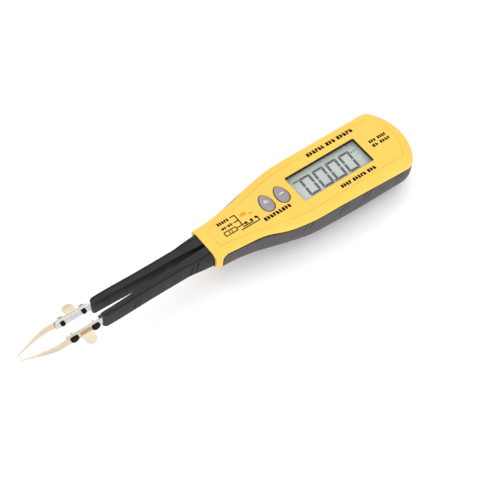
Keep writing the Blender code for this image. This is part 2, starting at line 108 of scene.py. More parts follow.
# Buttons
BUTTON_RIM_Z = 22.65
BUTTON_MARK_Z = 22.95
BUTTON_HALF = (2.8, 4.65)
BUTTON_GAP = 0.4

# Arms and tips
ARM_ROOT_TOP_Z = 21.3
ARM_OPENING_Y = 8.1
ARM_OPENING_RADIUS = 2.4
TIP_PLATE_Y = (4.85, 5.45)
PLATE_END_X = -72.6
BEND_X = -76.4
EAR_X = -63.4
EAR_HALF = 2.6

# Underside
DOOR_X_END = 84.5
TONGUE_HALF_Y = 5.2
DOOR_PAD_X = (85.1, 92.1)
BOSS_RADIUS = 3.45
SCREW_HEAD = 1.54


# ---------------------------------------------------------------- helpers

def mix(low, high, share):
    return low + (high - low) * share


def ease(start, end, x):
    share = min(max((x - start) / (end - start), 0.0), 1.0)
    return share * share * (3.0 - 2.0 * share)


def spread(low, high, count):
    """count numbers from low to high, evenly spaced, both ends included."""
    return [mix(low, high, i / (count - 1)) for i in range(count)]


def add_mesh(name, points, faces, material=None, sharp=32.0):
    """A mesh object from points in millimetres, with coinciding points joined."""
    mesh = bpy.data.meshes.new(name)
    mesh.from_pydata([(Vector(p) + COLLAR_PLACE) * MM for p in points], [], faces)
    shape = bmesh.new()
    shape.from_mesh(mesh)
    bmesh.ops.remove_doubles(shape, verts=shape.verts, dist=1e-7)
    bmesh.ops.recalc_face_normals(shape, faces=shape.faces)
    bmesh.ops.triangulate(shape, faces=shape.faces)
    shape.to_mesh(mesh)
    shape.free()
    obj = bpy.data.objects.new(name, mesh)
    bpy.context.scene.collection.objects.link(obj)
    if material:
        mesh.materials.append(material)
    mesh.shade_smooth()
    mesh.set_sharp_from_angle(angle=math.radians(sharp))
    return obj


def loft(name, rings, material=None, caps=(True, True), sharp=32.0):
    """Closed rings of equal length, joined in order."""
    count = len(rings[0])
    points = [p for ring in rings for p in ring]
    faces = []
    for level in range(len(rings) - 1):
        low, high = level * count, (level + 1) * count
        for i in range(count):
            j = (i + 1) % count
            faces.append((low + i, low + j, high + j, high + i))
    if caps[0]:
        faces.append(tuple(reversed(range(count))))
    if caps[1]:
        faces.append(tuple(range(len(points) - count, len(points))))
    return add_mesh(name, points, faces, material, sharp)


def apply_boolean(obj, tool, operation="DIFFERENCE"):
    """Cuts or joins for good, then removes the tool."""
    modifier = obj.modifiers.new("cut", "BOOLEAN")
    modifier.operation = operation
    modifier.solver = "EXACT"
    modifier.object = tool
    bpy.context.view_layer.update()
    evaluated = obj.evaluated_get(bpy.context.evaluated_depsgraph_get())
    result = bpy.data.meshes.new_from_object(evaluated)
    obj.modifiers.clear()
    old = obj.data
    obj.data = result
    bpy.data.meshes.remove(old)
    bpy.data.objects.remove(tool, do_unlink=True)


def smooth_by_angle(obj, degrees):
    obj.data.shade_smooth()
    obj.data.set_sharp_from_angle(angle=math.radians(degrees))


def finish_piece(obj, body, slot, *nodes):
    """The piece rides its body and stands for the CAD nodes named. The slot is not used."""
    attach(obj, body)
    if nodes:
        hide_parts(*nodes)
    return obj


def rounded_outline(x_range, y_range, radius, segments=6):
    outline = []
    for side_x, side_y, start in ((1, 1, 0.0), (0, 1, 90.0), (0, 0, 180.0), (1, 0, 270.0)):
        cx = x_range[side_x] + (radius if side_x == 0 else -radius)
        cy = y_range[side_y] + (radius if side_y == 0 else -radius)
        for i in range(segments + 1):
            angle = math.radians(start + 90.0 * i / segments)
            outline.append((cx + radius * math.cos(angle), cy + radius * math.sin(angle)))
    return outline


def oval(centre, half_x, half_y, segments=64):
    turns = [2.0 * math.pi * i / segments for i in range(segments)]
    return [(centre[0] + half_x * math.cos(t), centre[1] + half_y * math.sin(t)) for t in turns]


def turned(name, axis, centre, profile, material, segments=48, sharp=32.0):
    """A solid of revolution: profile pairs (place along the axis, radius) about the axis letter."""
    rings = []
    for place, radius in profile:
        ring = []
        for i in range(segments):
            angle = 2.0 * math.pi * i / segments
            u, v = radius * math.cos(angle), radius * math.sin(angle)
            if axis == "Z":
                ring.append((centre[0] + u, centre[1] + v, place))
            else:
                ring.append((centre[0] + u, place, centre[1] + v))
        rings.append(ring)
    return loft(name, rings, material, sharp=sharp)


# ---------------------------------------------------------------- materials

def srgb(red, green, blue):
    """A display colour, 0 to 255, as the shader's linear colour."""
    def linear(value):
        value /= 255.0
        return value / 12.92 if value <= 0.04045 else ((value + 0.055) / 1.055) ** 2.4
    return (linear(red), linear(green), linear(blue), 1.0)


class Shader:
    """A Principled material with small methods for the nodes that colour and roughen it."""

    def __init__(self, name, colour, roughness, metallic=0.0):
        self.material = bpy.data.materials.new(name)
        self.material.use_nodes = True
        self.tree = self.material.node_tree
        self.shader = self.tree.nodes["Principled BSDF"]
        self.shader.inputs["Base Color"].default_value = colour
        self.shader.inputs["Roughness"].default_value = roughness
        self.shader.inputs["Metallic"].default_value = metallic
        self.coordinates = self.node("ShaderNodeTexCoord").outputs["Object"]
        self.normal = None
        self.last_colour = None

    def node(self, kind, **values):
        node = self.tree.nodes.new(kind)
        for key, value in values.items():
            setattr(node, key, value)
        return node

    def link(self, source, target):
        self.tree.links.new(source, target)

    def noise(self, scale, detail=4.0, stretch=(1.0, 1.0, 1.0)):
        """Noise with features about 1 / scale metres across, stretched along the axes."""
        mapping = self.node("ShaderNodeMapping")
        mapping.inputs["Scale"].default_value = stretch
        self.link(self.coordinates, mapping.inputs["Vector"])
        noise = self.node("ShaderNodeTexNoise")
        noise.inputs["Scale"].default_value = scale
        noise.inputs["Detail"].default_value = detail
        self.link(mapping.outputs["Vector"], noise.inputs["Vector"])
        return noise.outputs["Fac"]

    def remap(self, value, low, high, source=(0.3, 0.7)):
        node = self.node("ShaderNodeMapRange")
        node.inputs["From Min"].default_value = source[0]
        node.inputs["From Max"].default_value = source[1]
        node.inputs["To Min"].default_value = low
        node.inputs["To Max"].default_value = high
        self.link(value, node.inputs["Value"])
        return node.outputs["Result"]

    def tint(self, value, colour_low, colour_high):
        """Base colour that runs between two colours as value goes from 0 to 1."""
        node = self.node("ShaderNodeMix", data_type="RGBA")
        node.inputs["A"].default_value = colour_low
        node.inputs["B"].default_value = colour_high
        self.link(value, node.inputs["Factor"])
        self.link(node.outputs["Result"], self.shader.inputs["Base Color"])
        self.last_colour = node.outputs["Result"]

    def layer(self, value, colour):
        """Lays another colour over the base colour where value is near 1."""
        node = self.node("ShaderNodeMix", data_type="RGBA")
        self.link(self.last_colour, node.inputs["A"])
        node.inputs["B"].default_value = colour
        self.link(value, node.inputs["Factor"])
        self.link(node.outputs["Result"], self.shader.inputs["Base Color"])
        self.last_colour = node.outputs["Result"]

    def rough(self, value, low, high):
        self.link(self.remap(value, low, high), self.shader.inputs["Roughness"])

    def bump(self, value, height, strength=1.0):
        node = self.node("ShaderNodeBump")
        node.inputs["Distance"].default_value = height
        node.inputs["Strength"].default_value = strength
        self.link(value, node.inputs["Height"])
        if self.normal:
            self.link(self.normal, node.inputs["Normal"])
        self.normal = node.outputs["Normal"]
        self.link(self.normal, self.shader.inputs["Normal"])

    def edges(self, low, high):
        """0 on flat stretches and 1 along raised edges."""
        geometry = self.node("ShaderNodeNewGeometry")
        return self.remap(geometry.outputs["Pointiness"], 0.0, 1.0, (low, high))


def scaled(colour, factor):
    red, green, blue = (min(part * factor, 1.0) for part in colour[:3])
    return (red, green, blue, 1.0)


def moulded_plastic(name, colour, roughness, grain=0.35, height=0.00001, edge_wear_and_highlight=None, shine=0.5):
    """Moulded plastic: soft mottling under a fine grain of the size in mm, and lighter edges if asked,
    which are part edge wear and part painted highlight.
    """
    made = Shader(name, colour, roughness)
    mottle = made.noise(35.0, 5.0)
    made.tint(made.remap(mottle, 0.0, 1.0), scaled(colour, 0.95), scaled(colour, 1.04))
    # lighter raised edges: part edge wear, part painted highlight along the edges
    if edge_wear_and_highlight:
        made.layer(made.edges(0.53, 0.62), edge_wear_and_highlight)
    made.rough(made.noise(180.0, 6.0), roughness - 0.06, roughness + 0.07)
    made.bump(made.noise(1000.0 / grain, 3.0), height, 0.6)
    made.bump(made.noise(60.0, 2.0), height * 2.5, 0.35)
    made.shader.inputs["IOR"].default_value = 1.5
    made.shader.inputs["Specular IOR Level"].default_value = shine
    return made.material


def brushed_metal(name, colour, roughness, stretch, height=0.000004):
    """Metal with fine drawn lines; a small stretch value runs the lines along that axis."""
    made = Shader(name, colour, roughness, 1.0)
    lines = made.noise(2600.0, 4.0, stretch)
    made.tint(made.remap(made.noise(90.0, 4.0), 0.0, 1.0), scaled(colour, 0.9), scaled(colour, 1.05))
    made.rough(lines, roughness - 0.07, roughness + 0.12)
    made.bump(lines, height, 0.5)
    return made.material


def lens_material(name):
    made = Shader(name, (0.93, 0.96, 0.95, 1.0), 0.06)
    made.tint(made.remap(made.noise(40.0), 0.0, 1.0), (0.9, 0.94, 0.93, 1.0), (0.95, 0.98, 0.97, 1.0))
    made.rough(made.noise(300.0, 5.0), 0.04, 0.1)
    made.shader.inputs["Alpha"].default_value = 0.06
    return made.material


def lcd_material(name):
    """Cool grey panel under a satin polariser, with a painted reflection that makes it paler and bluer
    towards its front left corner.
    """
    made = Shader(name, srgb(168, 177, 172), 0.32)
    made.tint(made.remap(made.noise(22.0, 3.0), 0.0, 1.0), srgb(162, 171, 165), srgb(175, 185, 181))
    # painted reflection: a pale bluish patch that fades in from the front left corner
    place = made.node("ShaderNodeSeparateXYZ")
    made.link(made.node("ShaderNodeTexCoord").outputs["Generated"], place.inputs["Vector"])
    total = made.node("ShaderNodeMath", operation="ADD")
    made.link(place.outputs["X"], total.inputs[0])
    made.link(place.outputs["Y"], total.inputs[1])
    made.layer(made.remap(total.outputs["Value"], 1.0, 0.0, (0.1, 0.75)), srgb(196, 210, 217))
    made.rough(made.noise(700.0, 3.0), 0.28, 0.4)
    made.bump(made.noise(3500.0, 2.0), 0.000003, 0.4)
    return made.material


def board_material(name):
    """Solder mask over copper tracks: cells in two greens with a slight relief."""
    made = Shader(name, (0.02, 0.2, 0.07, 1.0), 0.35)
    cells = made.node("ShaderNodeTexVoronoi", distance="CHEBYCHEV")
    cells.inputs["Scale"].default_value = 420.0
    made.link(made.coordinates, cells.inputs["Vector"])
    tracks = made.remap(cells.outputs["Distance"], 0.0, 1.0, (0.2, 0.26))
    made.tint(tracks, (0.012, 0.15, 0.05, 1.0), (0.03, 0.26, 0.09, 1.0))
    made.rough(made.noise(500.0), 0.3, 0.42)
    made.bump(tracks, 0.00003, 0.6)
    return made.material


def striped_rubber(name):
    """Conductive rubber: carbon layers between insulating ones, across the strip's length."""
    made = Shader(name, (0.3, 0.25, 0.27, 1.0), 0.7)
    waves = made.node("ShaderNodeTexWave", bands_direction="X")
    waves.inputs["Scale"].default_value = 900.0
    made.link(made.coordinates, waves.inputs["Vector"])
    made.tint(waves.outputs["Fac"], (0.03, 0.03, 0.03, 1.0), (0.55, 0.42, 0.44, 1.0))
    made.rough(made.noise(800.0), 0.6, 0.78)
    made.bump(waves.outputs["Fac"], 0.00002, 0.5)
    return made.material


def make_materials():
    yellow = srgb(226, 185, 73)
    grey = srgb(64, 59, 62)
    black = srgb(20, 20, 21)
    # paler black for the arms' raised edges: part wear, part painted edge highlight
    edge_wear_and_highlight_black = srgb(48, 48, 50)
    print_black = srgb(14, 12, 10)
    screw_black = srgb(14, 11, 10)
    segment_black = srgb(14, 19, 26)
    gold = (0.64, 0.545, 0.41, 1.0)
    return {
        "yellow_plastic": moulded_plastic("yellow_plastic", yellow, 0.42),
        "grey_plastic": moulded_plastic("grey_plastic", grey, 0.55, 0.5, 0.00002),
        "arm_plastic": moulded_plastic("arm_plastic", black, 0.58, 0.45, 0.00002, edge_wear_and_highlight_black, 0.38),
        "button_plastic": moulded_plastic("button_plastic", srgb(136, 132, 136), 0.16, 0.3, 0.000002),
        "white_plastic": moulded_plastic("white_plastic", srgb(222, 221, 214), 0.5),
        "black_plastic": moulded_plastic("black_plastic", srgb(40, 40, 42), 0.5, 0.4, 0.000012),
        "print_ink": moulded_plastic("print_ink", print_black, 0.55, 0.2, 0.000004, None, 0.12),
        "accent_ink": moulded_plastic("accent_ink", srgb(204, 146, 20), 0.5, 0.2, 0.000004),
        "pale_ink": moulded_plastic("pale_ink", srgb(214, 212, 216), 0.5, 0.2, 0.000004),
        "segment_ink": moulded_plastic("segment_ink", segment_black, 0.5, 0.25, 0.000003, None, 0.2),
        "faint_ink": moulded_plastic("faint_ink", srgb(70, 78, 86), 0.5, 0.25, 0.000003),
        # painted shade: the dark brown of the window's walls in shade
        "painted_wall_shade": moulded_plastic("painted_wall_shade", srgb(26, 18, 10), 0.7, 0.3),
        "wire_cover": moulded_plastic("wire_cover", srgb(170, 30, 26), 0.5, 0.3),
        "spring_steel": brushed_metal("spring_steel", (0.6, 0.59, 0.61, 1.0), 0.3, (0.04, 1.0, 1.0)),
        "crystal_can": brushed_metal("crystal_can", (0.68, 0.68, 0.69, 1.0), 0.32, (0.2, 1.0, 1.0)),
        "black_screw": moulded_plastic("black_screw", screw_black, 0.42, 0.3, 0.000006, None, 0.12),
        "gold_plating": brushed_metal("gold_plating", gold, 0.24, (0.08, 1.0, 1.0), 0.000003),
        "clear_lens": lens_material("clear_lens"),
        "lcd_glass": lcd_material("lcd_glass"),
        "board_green": board_material("board_green"),
        "zebra_rubber": striped_rubber("zebra_rubber"),
    }


MATERIALS = make_materials()


# ---------------------------------------------------------------- hull of the case

def side_y(x):
    """How far the side of the case is from the middle at x, before the round butt."""
    return mix(NECK_HALF_WIDTH, HALF_WIDTH, ease(2.0, 52.0, x))


def plan_outline(inset, start_x, corner=0.0):
    """The case seen from above, moved inwards by inset: tapered side, corner, round butt, and back."""
    half = []
    for i in range(5):
        angle = math.radians(90.0 * i / 4)
        side = side_y(start_x) - inset
        half.append((start_x + corner * (1 - math.sin(angle)), side - corner * (1 - math.cos(angle))))
    half.reverse()
    straight_end = BUTT_X - CORNER_LENGTH
    for x in spread(start_x + max(corner, 0.3), straight_end, 64):
        half.append((x, side_y(x) - inset))
    tangent = math.radians(34.9)
    for angle in spread(0.5 * math.pi, tangent, 12)[1:]:
        radius = CORNER_RADIUS - inset
        y = CORNER_CENTRE_Y + radius * math.sin(angle)
        half.append((straight_end + radius * math.cos(angle), y))
    for angle in spread(tangent, 0.0, 16)[1:]:
        radius = BUTT_RADIUS - inset
        half.append((BUTT_X - BUTT_RADIUS + radius * math.cos(angle), radius * math.sin(angle)))
    return half + [(x, -y) for x, y in reversed(half[:-1])]


def fullness(x):
    """Exponent of the hull's section below its centre line: 2 is an ellipse, more is squarer."""
    return mix(mix(3.4, 2.4, ease(0.0, 40.0, x)), 2.9, ease(40.0, 80.0, x))


def keel_ring(inset, start_x, turn, floor):
    """One level of the round underside, from the widest outline at turn 0 to the keel at turn 1."""
    ring = []
    angle = 0.5 * math.pi * turn
    for x, y in plan_outline(inset, start_x):
        centre_x = min(x, BUTT_X - 14.0)
        near_lip = max(0.0, 1.0 - x / LIP_ROLL[0])
        keel = mix(NECK_KEEL_Z, KEEL_Z, ease(10.0, 52.0, x)) + LIP_ROLL[1] * near_lip ** 2
        depth = HULL_CENTRE_Z - keel - inset
        power = 2.0 / fullness(x)
        across = max(math.cos(angle), 0.0) ** power if turn < 1 else 0.0
        z = HULL_CENTRE_Z - depth * math.sin(angle) ** power
        ring.append((centre_x + (x - centre_x) * across, y * across, max(z, floor)))
    return ring


def hull_solid(name, inset=0.0, start_x=0.0, top=None):
    """The whole case as one solid. With a top it is a plain hollow, closed at that height."""
    rings = []
    if top is None:
        for level_inset, depth in GROOVE:
            outline = plan_outline(level_inset, PANEL_START_X + level_inset, PANEL_CORNER)
            rings.append([(x, y, PANEL_Z - depth) for x, y in outline])
        flat = PANEL_Z - GROOVE[-1][1]
        for i in range(15):
            angle = math.radians(90.0 * i / 15)
            level_inset = SHOULDER_INSET * (1.0 - math.sin(angle))
            z = HULL_CENTRE_Z + (flat - HULL_CENTRE_Z) * math.cos(angle)
            near_face = max(COLLAR_ROLL - (flat - z), 0.0)
            start = start_x + COLLAR_ROLL - math.sqrt(COLLAR_ROLL ** 2 - near_face ** 2)
            rings.append([(x, y, z) for x, y in plan_outline(level_inset, start)])
    else:
        rings.append([(x, y, top) for x, y in plan_outline(inset, start_x)])
    for i in range(25):
        rings.append(keel_ring(inset, start_x, i / 24, inset))
    return loft(name, rings, caps=(True, False))


def seam_height(x):
    """The seam climbs behind the collar, drops past the neck and slopes down to the butt."""
    crest = mix(NECK_SEAM_Z, SEAM_CREST_Z, ease(8.0, 24.0, x))
    level = mix(crest, SEAM_Z, ease(24.0, 38.0, x))
    return mix(level, BUTT_SEAM_Z, ease(48.0, 112.0, x))


def seam_profile(offset):
    """The seam seen from the side, from below the collar to past the butt, moved by an offset."""
    line = [(COLLAR_X + offset, -5.0), (COLLAR_X + offset, NECK_SEAM_Z - COLLAR_CORNER[1] - offset)]
    centre_x, centre_z = COLLAR_X + COLLAR_CORNER[0], NECK_SEAM_Z - COLLAR_CORNER[1]
    for i in range(1, 16):
        angle = math.radians(6.0 * i)
        x = centre_x - (COLLAR_CORNER[0] - offset) * math.cos(angle)
        line.append((x, centre_z + (COLLAR_CORNER[1] - offset) * math.sin(angle)))
    places = spread(8.0, 38.0, 31) + spread(48.0, BUTT_X + 5.0, 25)
    line += [(x, seam_height(x) - offset) for x in places]
    return line


def side_prism(outline, half_y=30.0):
    """An outline in X and Z, extruded across the case, as a helper."""
    return loft("helper", [[(x, y, z) for x, z in outline] for y in (-half_y, half_y)])


def box(x_range, y_range, z_range, name="helper", material=None):
    (x0, x1), (y0, y1) = x_range, sorted(y_range)
    outline = [(x0, y0), (x1, y0), (x1, y1), (x0, y1)]
    return loft(name, [[(x, y, z) for x, y in outline] for z in z_range], material)


def post(centre, z_range, radius):
    return turned("helper", "Z", centre, [(z, radius) for z in z_range], None)


def rimmed_opening(outline_at, z_low, rim):
    """A cutter whose top edge flares out in a quarter round. outline_at(grow) gives its outline."""
    levels = [(z_low, 0.0), (FACE_Z - rim, 0.0)]
    for i in range(1, 7):
        angle = math.radians(15.0 * i)
        levels.append((FACE_Z - rim + rim * math.sin(angle), rim * (1 - math.cos(angle))))
    levels.append((FACE_Z + 3.0, rim))
    return loft("helper", [[(x, y, z) for x, y in outline_at(grow)] for z, grow in levels])


# ---------------------------------------------------------------- covers

def window_outline(grow):
    x_range = (WINDOW_X[0] - grow, WINDOW_X[1] + grow)
    return rounded_outline(x_range, (WINDOW_Y[0] - grow, WINDOW_Y[1] + grow), 0.6 + grow)


def button_outline(key, grow):
    """An egg shape, broader at its -Y end, moved outwards by grow."""
    x, y = centre_of(*BUTTONS[key])
    half_x, half_y = BUTTON_HALF[0] + grow, BUTTON_HALF[1] + grow
    outline = []
    for i in range(72):
        angle = math.radians(5.0 * i)
        narrowing = 1.0 - 0.17 * math.sin(angle)
        outline.append((x + half_x * narrowing * math.cos(angle), y + half_y * math.sin(angle)))
    return outline


def arm_opening():
    """The mouth of the collar, with a round corner where the outer edges of the arms run in."""
    z_range = (ARM_LOW.z - GAP, ARM_ROOT_TOP_Z + GAP)
    outline = rounded_outline((-ARM_OPENING_Y, ARM_OPENING_Y), z_range, ARM_OPENING_RADIUS, 8)
    return loft("helper", [[(x, y, z) for y, z in outline] for x in (-3.0, 3.4)])


def make_window_painted_shade():
    """A thin near-black sleeve inside the window, down to the lens, which paints shade over the
    window's yellow walls.
    """
    rings = []
    low, high = LENS_HIGH.z + 0.05, FACE_Z - 0.14
    for grow, z in ((-0.02, low), (-0.02, high), (-0.14, high), (-0.14, low)):
        rings.append([(x, y, z) for x, y in window_outline(grow)])
    rings.append(rings[0])
    painted_wall_shade = loft("window_painted_shade", rings, MATERIALS["painted_wall_shade"], caps=(False, False), sharp=30.0)
    finish_piece(painted_wall_shade, "case", "black_plastic")


def make_front_cover():
    cover = hull_solid("front_cover_shell")
    above = seam_profile(-0.5 * SEAM_GAP) + [(BUTT_X + 5.0, 30.0), (-5.0, 30.0), (-5.0, -5.0)]
    apply_boolean(cover, side_prism(above), "INTERSECT")
    hollow = hull_solid("helper", WALL, WALL, NECK_CEILING_Z)
    apply_boolean(hollow, box((-5.0, 16.5), (-20.0, 20.0), (-5.0, 30.0)), "INTERSECT")
    apply_boolean(cover, hollow)
    apply_boolean(cover, hull_solid("helper", WALL, 20.0, LID_CEILING_Z))
    apply_boolean(cover, arm_opening())
    apply_boolean(cover, rimmed_opening(window_outline, 15.0, 0.12))
    for key in BUTTONS:
        hole = rimmed_opening(lambda grow: button_outline(key, grow + BUTTON_GAP), 15.0, 0.2)
        apply_boolean(cover, hole)
    smooth_by_angle(cover, 30.0)
    cover.data.materials.append(MATERIALS["yellow_plastic"])
    return finish_piece(cover, "case", "yellow_plastic", "front_cover")


# Slanted grip grooves on the grey sides: place along the case, and how far the top leans to the butt
GRIP_LINES = [(x + step, 4.0) for x in (39.0, 59.0, 71.5, 90.5) for step in (0.0, 2.6)]


def grip_line(x, side, lean):
    """A thin slanted blade that leaves a shallow groove in the side of the hull."""
    surface = side_y(x + 0.5 * lean)
    y_range = sorted((side * (surface - 0.35), side * (surface + 3.0)))
    outline = [(x, 12.0), (x + 0.6, 12.0), (x + 0.6 + lean, 19.2), (x + lean, 19.2)]
    return loft("helper", [[(px, y, z) for px, z in outline] for y in y_range])


def door_outline(grow):
    x_range = (DOOR_LOW.x - grow, DOOR_X_END + grow)
    return rounded_outline(x_range, (DOOR_LOW.y - grow, DOOR_HIGH.y + grow), 1.2 + grow)


def tongue_outline(grow):
    y_range = (-TONGUE_HALF_Y - grow, TONGUE_HALF_Y + grow)
    return rounded_outline((DOOR_X_END - 3.0, DOOR_HIGH.x + grow), y_range, 1.6 + grow)


def upright(outline, z_range):
    return loft("helper", [[(x, y, z) for x, y in outline] for z in z_range])


def centre_of(low, high):
    return (0.5 * (low.x + high.x), 0.5 * (low.y + high.y))


def make_rear_cover():
    cover = hull_solid("rear_cover_shell")
    below = seam_profile(0.5 * SEAM_GAP) + [(BUTT_X + 5.0, -5.0)]
    apply_boolean(cover, side_prism(below), "INTERSECT")
    hollow = hull_solid("helper", WALL, -5.0, 30.0)
    apply_boolean(hollow, box(DOOR_PAD_X, (-7.0, 7.0), (0.0, 7.0)))
    for low, high in CASE_SCREWS.values():
        apply_boolean(hollow, post(centre_of(low, high), (0.0, low.z + 5.5), BOSS_RADIUS))
    apply_boolean(cover, hollow)
    for low, high in CASE_SCREWS.values():
        seat = low.z + SCREW_HEAD
        stepped = [(-4.0, 2.4), (seat, 2.4), (seat, 1.3), (seat + 5.0, 1.3)]
        apply_boolean(cover, turned("helper", "Z", centre_of(low, high), stepped, None))
    apply_boolean(cover, upright(door_outline(GAP), (-4.0, 12.0)))
    apply_boolean(cover, upright(tongue_outline(GAP), (-4.0, WALL + GAP)))
    apply_boolean(cover, post(centre_of(DOOR_SCREW_LOW, DOOR_SCREW_HIGH), (1.0, 12.0), 1.05))
    for x, lean in GRIP_LINES:
        for side in (-1, 1):
            apply_boolean(cover, grip_line(x, side, lean))
    smooth_by_angle(cover, 30.0)
    cover.data.materials.append(MATERIALS["grey_plastic"])
    return finish_piece(cover, "case", "grey_plastic", "rear_cover")


def make_battery_door():
    door = hull_solid("battery_door_panel")
    apply_boolean(door, upright(door_outline(0.0), (-4.0, 12.0)), "INTERSECT")
    apply_boolean(door, hull_solid("helper", WALL, 30.0, 30.0))
    for side in (-1, 1):
        rib = box((65.5, 79.5), (side * 4.0, side * 5.5), (1.0, DOOR_HIGH.z))
        apply_boolean(door, rib, "UNION")
    apply_boolean(door, upright(tongue_outline(0.0), (0.0, WALL - 0.05)), "UNION")
    centre = centre_of(DOOR_SCREW_LOW, DOOR_SCREW_HIGH)
    stepped = [(-3.0, 2.1), (1.1, 2.1), (1.1, 1.15), (5.0, 1.15)]
    apply_boolean(door, turned("helper", "Z", centre, stepped, None))
    for i in range(4):
        ridge = box((63.5 + 1.4 * i, 64.2 + 1.4 * i), (-4.5, 4.5), (-1.0, 0.35))
        apply_boolean(door, ridge)
    smooth_by_angle(door, 30.0)
    door.data.materials.append(MATERIALS["grey_plastic"])
    return finish_piece(door, "case", "grey_plastic", "battery_door")


# ---------------------------------------------------------------- display and prints

# The CAD material that each ink stands on, where it isn't black_plastic
SLOT_OF_INK = {
    "segment_ink": "lcd_glass",
    "faint_ink": "lcd_glass",
    "accent_ink": "yellow_plastic",
    "pale_ink": "button_plastic",
}


def flat_piece(name, shapes, z, material, body="case", thickness=INK_THICKNESS):
    """Thin raised ink: each shape is an outline in X and Y."""
    points, faces = [], []
    for outline in shapes:
        start, count = len(points), len(outline)
        points += [(x, y, z) for x, y in outline]
        points += [(x, y, z + thickness) for x, y in outline]
        faces.append(tuple(start + i for i in reversed(range(count))))
        faces.append(tuple(start + count + i for i in range(count)))
        for i in range(count):
            j = (i + 1) % count
            faces.append((start + i, start + j, start + count + j, start + count + i))
    obj = add_mesh(name, points, faces, material, 20.0)
    return finish_piece(obj, body, SLOT_OF_INK.get(material.name, "black_plastic"))


def bar(start, end, width):
    """A straight bar from start to end."""
    first, last = Vector(start), Vector(end)
    along = (last - first).normalized()
    across = Vector((-along.y, along.x)) * 0.5 * width
    return [tuple(corner) for corner in (first - across, last - across, last + across, first + across)]


DIGIT_X = (57.1, 64.3, 71.6, 78.8)
DIGIT_Y = 0.25
DIGIT_HALF = (3.0, 5.35)
STROKE = 1.2
SLANT = 0.06


def zero_segments(x):
    """The six mitred segments of a nought, leaning a little towards the butt."""
    half_x, half_y = DIGIT_HALF
    gap = 0.12
    corner_gap = STROKE + gap

    def place(u, v):
        return (x + u + SLANT * v, DIGIT_Y + v)

    shapes = []
    for up in (-1, 1):
        level = [
            (gap - half_x, up * half_y), (half_x - gap, up * half_y),
            (half_x - corner_gap, up * (half_y - STROKE)),
            (corner_gap - half_x, up * (half_y - STROKE)),
        ]
        shapes.append([place(u, v) for u, v in level])
        for out in (-1, 1):
            upright_bar = [
                (out * half_x, up * (half_y - gap)), (out * half_x, up * 0.25),
                (out * (half_x - STROKE), up * 0.25),
                (out * (half_x - STROKE), up * (half_y - corner_gap)),
            ]
            shapes.append([place(u, v) for u, v in upright_bar])
    return shapes


def make_display():
    z = LCD_TOP_Z + 0.01
    shapes = []
    for x in DIGIT_X:
        shapes += zero_segments(x)
    shapes.append(oval((67.9, DIGIT_Y - DIGIT_HALF[1] + 0.6), 0.55, 0.55, 20))
    flat_piece("display_digits", shapes, z, MATERIALS["segment_ink"])
    faint = [bar((51.2, 5.1), (54.2, 5.1), 1.1), bar((82.6, 3.8), (85.4, 3.8), 0.35)]
    faint.append([(82.6, 3.2), (82.6, 4.4), (83.7, 3.8)])
    flat_piece("display_symbols", faint, z, MATERIALS["faint_ink"])


def words(x_range, y, height, lengths):
    """A line of print: rows of strokes as long as the words, with a space between them."""
    shapes = []
    gap = 0.9
    total = sum(lengths) + gap * (len(lengths) - 1)
    scale = (x_range[1] - x_range[0]) / total
    x = x_range[0]
    for length in lengths:
        end = x + length * scale
        shapes += strokes((x, end), y, height)
        x = end + gap * scale
    return shapes


def strokes(x_range, y, height):
    """A word-like row of plain upright and level strokes that spells nothing."""
    shapes = []
    pitch = 0.82 * height
    count = max(1, round((x_range[1] - x_range[0]) / pitch))
    pitch = (x_range[1] - x_range[0]) / count
    width = 0.43 * height
    for i in range(count):
        left, right = x_range[0] + i * pitch, x_range[0] + (i + 0.78) * pitch
        low, high = y - 0.5 * height, y + 0.5 * height
        shapes.append(bar((left + 0.5 * width, low), (left + 0.5 * width, high), width))
        level = (high - 0.5 * width, y, low + 0.5 * width)[i % 3]
        shapes.append(bar((left + width, level), (right, level), width))
        if i % 2 == 0:
            stem = right - 0.5 * width
            shapes.append(bar((stem, low), (stem, y + 0.2 * height), width))
    return shapes


def make_prints():
    z = PANEL_Z + 0.005
    ink = MATERIALS["print_ink"]
    flat_piece("print_above_window", words((64.1, 89.7), 12.0, 2.0, (9.5, 5.0, 8.5)), z, ink)
    flat_piece("print_below_window", words((65.9, 85.1), -10.7, 1.9, (5.5, 7.0, 4.5)), z, ink)
    side = words((91.1, 100.4), 1.7, 1.6, (3.6, 4.6)) + words((91.1, 100.8), -1.0, 1.6, (3.2, 5.4))
    flat_piece("print_beside_window", side, z, ink)
    flat_piece("print_below_buttons", words((28.3, 42.5), -5.25, 2.0, (13.0,)), z, ink)
    flat_piece("print_schematic", schematic(), z, ink)
    spots = [oval((22.4, 2.8), 1.7, 0.9, 24), oval((25.6, 1.6), 1.0, 0.45, 20)]
    flat_piece("print_accent", spots, z, MATERIALS["accent_ink"])
    for key, (low, high) in BUTTONS.items():
        x, y = centre_of(low, high)
        shapes = [bar((x - 1.1, y), (x + 1.1, y), 0.5)]
        if key == "function":
            shapes.append(bar((x - 1.1, y + 0.9), (x + 0.3, y + 0.9), 0.4))
        flat_piece("print_" + key, shapes, BUTTON_MARK_Z, MATERIALS["pale_ink"], key + "_button", 0.02)


